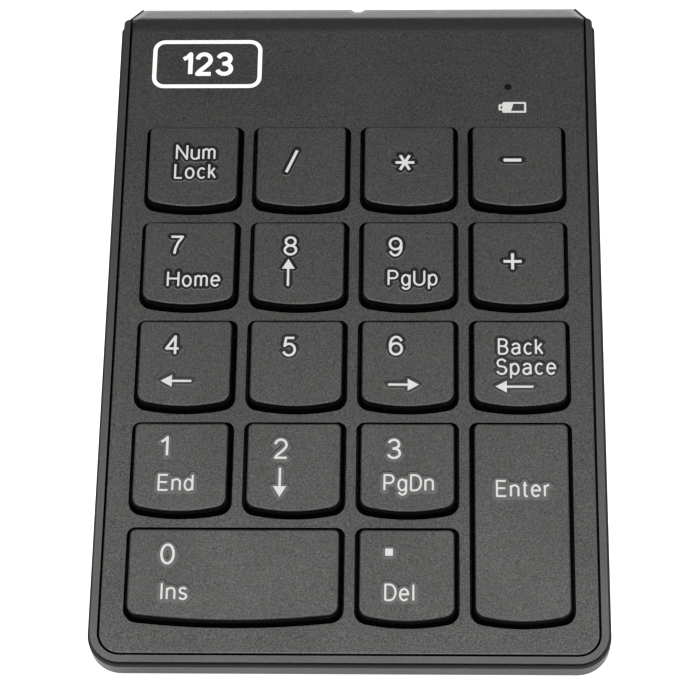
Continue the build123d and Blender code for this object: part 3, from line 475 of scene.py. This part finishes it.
def print_material():
    """Pale ink of the legends, laid a little unevenly."""
    shader = Shader("legend_ink", (0.51, 0.52, 0.52), 0.55)
    uneven = shader.noise(0.35, detail=3.0)
    shader.set("Base Color", shader.mix(uneven, (0.45, 0.46, 0.46), (0.58, 0.59, 0.59)))
    shader.set("Roughness", shader.ramp(uneven, 0.3, 0.7, 0.48, 0.62))
    shader.bump(uneven, 0.004)
    return shader.material


def mark_material():
    """White ink of the printed mark."""
    shader = Shader("mark_ink", (0.86, 0.86, 0.86), 0.5)
    uneven = shader.noise(0.4, detail=3.0)
    shader.set("Base Color", shader.mix(uneven, (0.80, 0.80, 0.80), (0.90, 0.90, 0.90)))
    shader.set("Roughness", shader.ramp(uneven, 0.3, 0.7, 0.45, 0.58))
    shader.bump(uneven, 0.003)
    return shader.material


def lacquer_material():
    """Glossy clear coat round each legend, over the key's own colour."""
    shader = Shader("legend_lacquer", (0.012, 0.012, 0.012), 0.12)
    ripple = shader.noise(0.8, detail=2.0)
    shader.set("Base Color", shader.mix(ripple, (0.010, 0.010, 0.010), (0.014, 0.014, 0.014)))
    shader.set("Roughness", shader.ramp(ripple, 0.3, 0.7, 0.09, 0.15))
    shader.bump(ripple, 0.003)
    return shader.material


# ------------------------------------------------------------------ stroke lettering
# Each glyph is a width and its strokes, on a grid where a capital's centre lines are 10 high. A
# stroke is a list of points; an arc is given as centre, radii, and its start and end angle.
X_HEIGHT = 7.2
LETTER_GAP = 2.95


def arc(x, y, rx, ry, start, end):
    """Points of an elliptic arc, about every 15 degrees."""
    steps = max(2, round(abs(end - start) / 15))
    angles = [math.radians(start + (end - start) * i / steps) for i in range(steps + 1)]
    return [(x + rx * math.cos(a), y + ry * math.sin(a)) for a in angles]


def oval(x, y, rx, ry):
    return arc(x, y, rx, ry, 0, 360)


def turned(strokes, width):
    """Strokes turned half a turn inside their width and the capital height."""
    return [[(width - x, 10 - y) for x, y in stroke] for stroke in strokes]


BOWL = oval(2.4, X_HEIGHT / 2, 2.4, X_HEIGHT / 2)
SIX = [arc(3.25, 5.1, 3.2, 4.9, 32, 195), oval(3.1, 3.2, 3.0, 3.2)]
GLYPHS = {
    "0": (6.1, [oval(3.05, 5, 3.05, 5)]),
    "1": (3.1, [[(0, 7.5), (1.8, 8.5), (3.1, 10), (3.1, 0)]]),
    "2": (6.1, [arc(3.0, 7.1, 2.85, 2.9, 172, -32) + [(3.6, 3.6), (1.4, 1.7), (0.2, 0), (6.1, 0)]]),
    "3": (5.9, [arc(2.9, 7.6, 2.6, 2.4, 165, -90) + [(2.2, 5.2)], arc(2.9, 2.6, 3.0, 2.6, 90, -165)]),
    "4": (6.3, [[(4.6, 0), (4.6, 10), (0, 3.1), (6.3, 3.1)]]),
    "5": (6.0, [[(5.6, 10), (1.4, 10)] + arc(2.95, 3.3, 3.05, 3.3, 140, -160)]),
    "6": (6.2, SIX),
    "7": (6.0, [[(0, 10), (6.0, 10), (3.7, 6.6), (2.4, 3.2), (1.9, 0)]]),
    "8": (6.0, [oval(3.0, 7.6, 2.55, 2.4), oval(3.0, 2.6, 3.0, 2.6)]),
    "9": (6.2, turned(SIX, 6.2)),
    "B": (5.4, [[(0, 0), (0, 10)] + arc(2.7, 7.65, 2.3, 2.35, 90, -90) + [(0, 5.3)],
                [(2.7, 5.3)] + arc(2.7, 2.65, 2.7, 2.65, 90, -90) + [(0, 0)]]),
    "D": (5.9, [[(0, 0), (0, 10)] + arc(2.6, 5, 3.6, 5, 90, -90) + [(0, 0)]]),
    "E": (5.6, [[(5.4, 10), (0, 10), (0, 0), (5.6, 0)], [(0, 5.2), (5.1, 5.2)]]),
    "H": (6.7, [[(0, 0), (0, 10)], [(6.7, 0), (6.7, 10)], [(0, 5.3), (6.7, 5.3)]]),
    "I": (0.6, [[(0.3, 0), (0.3, 10)]]),
    "L": (4.0, [[(0, 10), (0, 0), (4.4, 0)]]),
    "N": (6.7, [[(0, 0), (0, 10), (6.7, 0), (6.7, 10)]]),
    "P": (5.6, [[(0, 0), (0, 10)] + arc(3.0, 7.35, 2.6, 2.65, 90, -90) + [(0, 4.7)]]),
    "S": (5.6, [arc(2.8, 7.45, 2.55, 2.55, 20, 235) + arc(2.8, 2.65, 2.85, 2.65, 60, -165)]),
    "U": (6.4, [[(0, 10)] + arc(3.2, 3.1, 3.2, 3.1, 180, 360) + [(6.4, 10)]]),
    "a": (4.8, [arc(2.35, 5.2, 2.15, 2.0, 165, 0) + [(4.5, 1.0), (4.8, 0)],
                [(4.5, 4.4)] + arc(2.1, 2.0, 2.1, 2.0, 90, 300) + [(4.5, 1.9)]]),
    "c": (4.2, [arc(2.4, 3.6, 2.4, 3.6, 45, 315)]),
    "d": (4.8, [BOWL, [(4.8, 0), (4.8, 10)]]),
    "e": (5.0, [[(0, 3.8), (5.0, 3.8)] + arc(2.5, 3.6, 2.5, 3.6, 3, 318)]),
    "g": (4.8, [BOWL, [(4.8, 7.2)] + arc(2.5, -0.4, 2.3, 2.4, 0, -160)]),
    "k": (4.0, [[(0, 0), (0, 10)], [(3.6, 7.2), (0, 2.9)], [(1.4, 4.5), (4.0, 0)]]),
    "l": (0.3, [[(0.15, 0), (0.15, 10)]]),
    "m": (7.3, [[(0, 0), (0, 7.2)], arc(1.82, 5.2, 1.82, 2.0, 180, 0) + [(3.65, 0)],
                arc(5.47, 5.2, 1.82, 2.0, 180, 0) + [(7.3, 0)]]),
    "n": (4.6, [[(0, 0), (0, 7.2)], arc(2.3, 4.9, 2.3, 2.3, 180, 0) + [(4.6, 0)]]),
    "o": (5.0, [oval(2.5, 3.6, 2.5, 3.6)]),
    "p": (4.8, [[(0, 7.2), (0, -2.8)], BOWL]),
    "r": (2.6, [[(0, 0), (0, 7.2)], arc(2.3, 4.7, 2.3, 2.5, 180, 80)]),
    "s": (4.2, [arc(2.15, 5.45, 1.95, 1.75, 25, 225) + arc(2.1, 1.8, 2.1, 1.8, 55, -160)]),
    "t": (2.3, [[(0.9, 9.4)] + arc(2.1, 1.4, 1.2, 1.4, 180, 285), [(0, 7.2), (2.3, 7.2)]]),
    "u": (4.7, [[(0, 7.2)] + arc(2.35, 2.3, 2.35, 2.3, 180, 360), [(4.7, 7.2), (4.7, 0)]]),
}


def word(text, left, base, height, weight):
    """Strokes of a word in millimetres, each with its half weight."""
    grid = (height - weight) / 10
    pen = left + weight / 2
    strokes = []
    for character in text:
        width, lines = GLYPHS[character]
        for line in lines:
            strokes.append(([(pen + x * grid, base + weight / 2 + y * grid) for x, y in line], weight / 2))
        pen += (width + LETTER_GAP) * grid
    return strokes


def bar(x0, y0, x1, y1, weight):
    return [([(x0, y0), (x1, y1)], weight / 2)]


def block(x, y, side):
    """A filled square about its middle."""
    half = side / 2
    return [([(x - half, y - half), (x + half, y - half), (x + half, y + half), (x - half, y + half)], None)]


def arrow(x, y, length, direction):
    """Shaft and filled head of an arrow about its middle, pointing along a unit direction."""
    dx, dy = direction
    head_length, head_half, weight = 1.9, 1.1, 0.4
    tip = length / 2
    neck = tip - head_length
    corner = [(tip, 0), (neck, head_half), (neck, -head_half)]
    outline = [(x + u * dx - v * dy, y + u * dy + v * dx) for u, v in corner]
    shaft = bar(x - dx * tip, y - dy * tip, x + dx * (neck + 0.3), y + dy * (neck + 0.3), weight)
    return shaft + [(outline, None)]


# ------------------------------------------------------------------ thin printed pieces
CUT_STEP = 0.8          # how often a print is divided, so that it follows a dished key
PRINT_SINK = 0.02       # how far a print's underside lies inside the surface
FACETS = 10             # sides of a round stroke end
GENTLE_TURN = 20.0      # in degrees: below it, a point of a curve can be left out


def segment_outlines(stroke, half):
    """Overlapping convex outlines that cover a stroke: one for each run and each inner point."""
    shapes = []
    for (x0, y0), (x1, y1) in zip(stroke, stroke[1:]):
        length = math.hypot(x1 - x0, y1 - y0)
        if length > 0:
            nx, ny = -(y1 - y0) / length * half, (x1 - x0) / length * half
            shapes.append([(x0 + nx, y0 + ny), (x0 - nx, y0 - ny), (x1 - nx, y1 - ny), (x1 + nx, y1 + ny)])
    return shapes


def round_spots(points, radius):
    spots = []
    for x, y in points:
        turn = [2 * math.pi * i / FACETS for i in range(FACETS)]
        spots.append([(x + radius * math.cos(a), y + radius * math.sin(a)) for a in turn])
    return spots


def ink_outlines(strokes):
    """Outlines of the ink: square stroke ends, round joints, and filled shapes as they are."""
    shapes = []
    for line, half in strokes:
        if half is None:
            shapes.append(line)
        else:
            shapes += segment_outlines(line, half) + round_spots(line[1:-1], half)
    return shapes


def turn_at(before, here, after):
    """How far a stroke turns at a point, in degrees."""
    heading = math.atan2(here[1] - before[1], here[0] - before[0])
    change = math.atan2(after[1] - here[1], after[0] - here[0]) - heading
    return abs(math.degrees(math.remainder(change, 2 * math.pi)))


def coarser(strokes):
    """Strokes without every other point of their gentle curves."""
    thinned = []
    for line, half in strokes:
        kept = [line[0]]
        for i in range(1, len(line) - 1):
            if line[i - 1] != kept[-1] or turn_at(*line[i - 1:i + 2]) > GENTLE_TURN:
                kept.append(line[i])
        thinned.append((kept + [line[-1]], half))
    return thinned


def lacquer_outlines(strokes, margin):
    """Outlines of the lacquer: the ink grown by a margin with round ends."""
    shapes = []
    for line, half in strokes:
        closed = line + line[:1] if half is None else line
        reach = margin + (half or 0.0)
        shapes += segment_outlines(closed, reach) + round_spots(line, reach)
        if half is None:
            shapes.append(line)
    return shapes


def flat_union(shapes):
    """One flat net of triangles that covers all the outlines once: points and triangles."""
    corners, faces, cuts = [], [], []
    for shape in shapes:
        faces.append(list(range(len(corners), len(corners) + len(shape))))
        corners += [Vector(point) for point in shape]
    low_x, high_x = min(c.x for c in corners), max(c.x for c in corners)
    low_y, high_y = min(c.y for c in corners) - 1, max(c.y for c in corners) + 1
    for step in range(math.ceil(low_x / CUT_STEP), math.floor(high_x / CUT_STEP) + 1):
        cuts.append((len(corners), len(corners) + 1))
        corners += [Vector((step * CUT_STEP, low_y)), Vector((step * CUT_STEP, high_y))]
    points, _, triangles, _, _, sources = delaunay_2d_cdt(corners, cuts, faces, 1, 1e-5, True)
    kept = [triangle for triangle, source in zip(triangles, sources) if source]
    return points, kept


def surface_under(node):
    """A function that gives the CAD surface's height at a place on the cover."""
    source = frame["nodes"][node].data
    tree = BVHTree.FromPolygons([v.co for v in source.vertices], [p.vertices for p in source.polygons])
    ceiling = COVER_HIGH.z + 20

    def height(x, y):
        hit = tree.ray_cast(to_row(x, y, ceiling), -NORMAL)[0]
        return to_cover(hit).z

    return height


def open_edges(faces):
    """Edges of triangles that no other triangle shares."""
    edges = [edge for a, b, c in faces for edge in ((a, b), (b, c), (c, a))]
    known = set(edges)
    return [(a, b) for a, b in edges if (b, a) not in known]


def laid_print(name, shapes, node, thickness, material, body):
    """A closed thin solid on a CAD surface, raised above it by the thickness at each place."""
    points, triangles = flat_union(shapes)
    height = surface_under(node)
    used = sorted({corner for triangle in triangles for corner in triangle})
    index = {corner: i for i, corner in enumerate(used)}
    upper, lower = [], []
    for corner in used:
        x, y = points[corner]
        level = height(x, y)
        upper.append(to_row(x, y, level + thickness((x, y))))
        lower.append(to_row(x, y, level - PRINT_SINK))
    count = len(used)
    faces = [tuple(index[c] for c in triangle) for triangle in triangles]
    walls = [(b, a, a + count, b + count) for a, b in open_edges(faces)]
    bottom = [tuple(i + count for i in reversed(face)) for face in faces]
    mesh = bpy.data.meshes.new(name)
    mesh.from_pydata(upper + lower, [], faces + bottom + walls)
    mesh.materials.append(material)
    mesh.validate()
    piece = add_object(name, mesh)
    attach(piece, body)


# ------------------------------------------------------------------ legends
# Places are millimetres from the key's left and rear edges: left margin, and drop to the base line.
DIGIT_HEIGHT, DIGIT_WEIGHT = 3.7, 0.42
WORD_HEIGHT, WORD_WEIGHT = 3.05, 0.34
LACQUER_MARGIN = 0.58
LACQUER_SLOPE = 0.14            # width of the lacquer's sloping rim
LACQUER_HEIGHT = 0.03
INK_HEIGHT = 0.045


def ink_height(_place):
    return INK_HEIGHT


def digit(text, left, drop):
    return word(text, left, -drop, DIGIT_HEIGHT, DIGIT_WEIGHT)


def label(text, left, drop):
    return word(text, left, -drop, WORD_HEIGHT, WORD_WEIGHT)


def asterisk(x, y, reach):
    strokes = []
    for angle in (0, 60, 120):
        dx, dy = reach * math.cos(math.radians(angle)), reach * math.sin(math.radians(angle))
        strokes += bar(x - dx, y - dy, x + dx, y + dy, 0.5)
    return strokes


LEFT, RIGHT, UP, DOWN = (-1, 0), (1, 0), (0, 1), (0, -1)
LEGENDS = {
    "num_lock": label("Num", 5.15, 7.35) + label("Lock", 5.0, 11.15),
    "divide": bar(5.75, -9.85, 7.6, -5.5, 0.5),
    "multiply": asterisk(7.6, -7.95, 1.65),
    "minus": bar(5.95, -7.5, 9.05, -7.5, 0.6),
    "plus": bar(5.75, -8.35, 8.85, -8.35, 0.52) + bar(7.3, -9.9, 7.3, -6.8, 0.52),
    "seven": digit("7", 4.85, 7.05) + label("Home", 4.6, 13.25),
    "eight": digit("8", 5.65, 7.2) + arrow(6.55, -10.45, 5.2, UP),
    "nine": digit("9", 4.85, 7.4) + label("PgUp", 4.75, 13.05),
    "four": digit("4", 4.85, 7.15) + arrow(6.95, -11.95, 5.2, LEFT),
    "five": digit("5", 5.85, 7.4),
    "six": digit("6", 5.05, 7.2) + arrow(7.6, -12.6, 5.2, RIGHT),
    "backspace": label("Back", 4.6, 7.05) + label("Space", 4.3, 10.8) + arrow(7.35, -12.95, 6.4, LEFT),
    "one": digit("1", 4.75, 6.8) + label("End", 4.65, 13.0),
    "two": digit("2", 4.9, 7.2) + arrow(6.05, -11.4, 5.2, DOWN),
    "three": digit("3", 4.9, 7.2) + label("PgDn", 4.35, 12.95),
    "enter": label("Enter", 4.05, 13.95),
    "zero": digit("0", 5.65, 7.05) + label("Ins", 5.9, 13.2),
    "decimal": block(5.38, -4.7, 1.25) + label("Del", 4.65, 13.2),
}


def shifted(strokes, dx, dy):
    return [([(x + dx, y + dy) for x, y in line], half) for line, half in strokes]


def distance_to(strokes):
    """A function giving the distance from a place to the nearest ink, zero inside it."""
    runs = []
    for line, half in strokes:
        closed = line + line[:1] if half is None else line
        runs += [(p, q, half or 0.0) for p, q in zip(closed, closed[1:])]

    def distance(place):
        nearest = math.inf
        for (x0, y0), (x1, y1), half in runs:
            dx, dy = x1 - x0, y1 - y0
            square = dx * dx + dy * dy
            share = ((place[0] - x0) * dx + (place[1] - y0) * dy) / square if square else 0.0
            share = min(1.0, max(0.0, share))
            gap = math.hypot(place[0] - x0 - share * dx, place[1] - y0 - share * dy) - half
            nearest = min(nearest, gap)
        return max(0.0, nearest)

    return distance


def add_legend(key, strokes, ink, lacquer):
    """Ink and its raised lacquer on one key."""
    node = "key_" + key
    low, high = cover_box(node)
    strokes = shifted(strokes, low.x, high.y)
    core = coarser(strokes)
    distance = distance_to(core)

    def lacquer_height(place):
        """Full height near the ink, down to nothing at the lacquer's rim."""
        return LACQUER_HEIGHT * min(1.0, max(0.0, (LACQUER_MARGIN - distance(place)) / LACQUER_SLOPE))

    shapes = lacquer_outlines(core, LACQUER_MARGIN - LACQUER_SLOPE) + lacquer_outlines(core, LACQUER_MARGIN)
    laid_print("lacquer_" + key, shapes, node, lacquer_height, lacquer, node)
    laid_print("legend_" + key, ink_outlines(strokes), node, ink_height, ink, node)


# ------------------------------------------------------------------ prints on the cover
MARK_PLACE = (14.0, -13.3)      # middle of the mark, from the cover's left and rear edges


def battery_icon():
    """Outlined battery, part full, in millimetres from the indicator's centre."""
    weight = 0.36
    body = [(-0.87, -3.28), (3.03, -3.28), (3.03, -5.09), (-0.87, -5.09), (-0.87, -3.28)]
    cap = [(-0.87, -3.75), (-1.52, -3.75), (-1.52, -4.62), (-0.87, -4.62)]
    charge = [(-0.87, -5.09), (0.45, -5.09), (1.0, -3.28), (-0.87, -3.28)]
    return [(body, weight / 2), (cap, weight / 2), (charge, None)]


def number_mark():
    """Plain mark of three numerals in a rounded frame, about its middle."""
    half_width, half_height, radius, weight = 9.5, 4.6, 1.8, 0.75
    x, y = half_width - radius, half_height - radius
    frame_line = []
    for cx, cy, start in ((x, y, 90), (x, -y, 0), (-x, -y, -90), (-x, y, -180)):
        frame_line += arc(cx, cy, radius, radius, start, start - 90)
    frame_line.append(frame_line[0])
    numerals = word("123", left=-4.7, base=-2.45, height=4.9, weight=0.8)
    return [(frame_line, weight / 2)] + numerals


def add_cover_prints(ink, white):
    low, high = cover_box("indicator_window")
    centre = (low + high) / 2
    icon = shifted(battery_icon(), centre.x, centre.y)
    laid_print("battery_icon", ink_outlines(icon), "top_cover", ink_height, ink, "root")
    mark = shifted(number_mark(), COVER_LOW.x + MARK_PLACE[0], COVER_HIGH.y + MARK_PLACE[1])
    laid_print("number_mark", ink_outlines(mark), "top_cover", ink_height, white, "root")


# ------------------------------------------------------------------ rubber domes
DOME_TURNS = 48


def dome_profile(height):
    """Radius and height pairs of the dome's section in millimetres, from its top round to its pip."""
    crown = [(0.001, height), (1.6, height), (2.05, height - 0.04), (2.25, height - 0.16)]
    outside = [(2.38, height - 0.4), (2.62, height - 0.85), (3.1, 0.95), (3.55, 0.42), (3.75, 0.27)]
    foot = [(4.0, 0.22), (4.3, 0.21), (4.38, 0.15), (4.4, 0.0), (3.42, 0.0), (3.3, 0.2)]
    inside = [(2.9, 0.75), (2.35, height - 0.95), (2.05, height - 0.66), (1.6, height - 0.62)]
    pip = [(1.22, height - 0.64), (1.2, height - 0.76), (1.1, height - 0.8), (0.001, height - 0.8)]
    return crown + outside + foot + inside + pip


def lathed_mesh(name, profile, centre):
    """A profile turned about a line along the cover's normal, standing on a centre."""
    points, faces = [], []
    for step in range(DOME_TURNS):
        angle = 2 * math.pi * step / DOME_TURNS
        for radius, rise in profile:
            x, y = centre.x + radius * math.cos(angle), centre.y + radius * math.sin(angle)
            points.append(to_row(x, y, centre.z + rise))
    count = len(profile)
    for step in range(DOME_TURNS):
        here, there = step * count, (step + 1) % DOME_TURNS * count
        for i in range(count - 1):
            faces.append((here + i, here + i + 1, there + i + 1, there + i))
    mesh = bpy.data.meshes.new(name)
    mesh.from_pydata(points, [], faces)
    mesh.shade_smooth()
    return mesh


def add_dome(node, material):
    """A lathe-turned dome in the place of the CAD one."""
    low, high = cover_box(node)
    tall = high.z - low.z
    foot = Vector(((low.x + high.x) / 2, (low.y + high.y) / 2, low.z))
    mesh = lathed_mesh("soft_" + node, dome_profile(tall), foot)
    mesh.materials.append(material)
    dome = add_object("soft_" + node, mesh)
    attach(dome, "root")
    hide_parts(node)
    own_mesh(dome)


# ------------------------------------------------------------------ all materials on the CAD nodes
def dress(material, *nodes):
    for node in nodes:
        mesh = frame["nodes"][node].data
        mesh.materials.clear()
        mesh.materials.append(material)


def dress_all():
    dress(cover_material(), "top_cover")
    dress(keycap_material(), *KEY_NODES)
    dress(rail_material(), "side_frame")
    dress(case_material(), "bottom_case", "battery_door")
    dress(inner_plastic_material(), "key_guide_plate")
    dress(knob_material(), "power_switch_knob")
    dress(rubber_material(), "rubber_feet", "membrane_pressure_pad")
    dress(film_material(), "upper_circuit_sheet", "spacer_sheet", "lower_circuit_sheet")
    dress(metal_material("zinc_sheet", (0.50, 0.50, 0.49), 0.38, UP_PLATE, 0.3), "backing_plate")
    wires = [name for name in frame["nodes"] if name.startswith("stabilizer_wire")]
    dress(metal_material("bright_wire", (0.58, 0.58, 0.57), 0.25, ACROSS, 0.2), *wires)
    dress(metal_material("tinned_shell", (0.62, 0.62, 0.61), 0.33, ACROSS, 0.4), "power_switch_body")
    contacts = ("positive_contact", "negative_contact_spring")
    dress(metal_material("nickel", (0.66, 0.64, 0.58), 0.22, NORMAL, 0.3), *contacts)
    screws = metal_material("black_oxide", (0.055, 0.055, 0.057), 0.34, ACROSS, 0.5)
    dress(screws, "case_screws", "board_screws")
    dress(board_material(), "main_circuit_board")
    dress(chip_material(), "controller_chip")
    dress(lens_material("amber_lens", (0.75, 0.62, 0.32), 0.15, 0.4), "status_led")
    dress(lens_material("smoked_window", (0.004, 0.004, 0.004), 0.12, 0.2), "indicator_window")
    dress(cell_material(), "battery_cell")


def add_prints():
    ink, lacquer = print_material(), lacquer_material()
    for key, strokes in LEGENDS.items():
        add_legend(key, strokes, ink, lacquer)
    add_cover_prints(ink, mark_material())


def add_domes():
    material = silicone_material()
    for node in sorted(frame["nodes"]):
        if node.startswith("dome_"):
            add_dome(node, material)


add_camera()
add_lights()
add_floor()
dress_all()
add_prints()
add_domes()
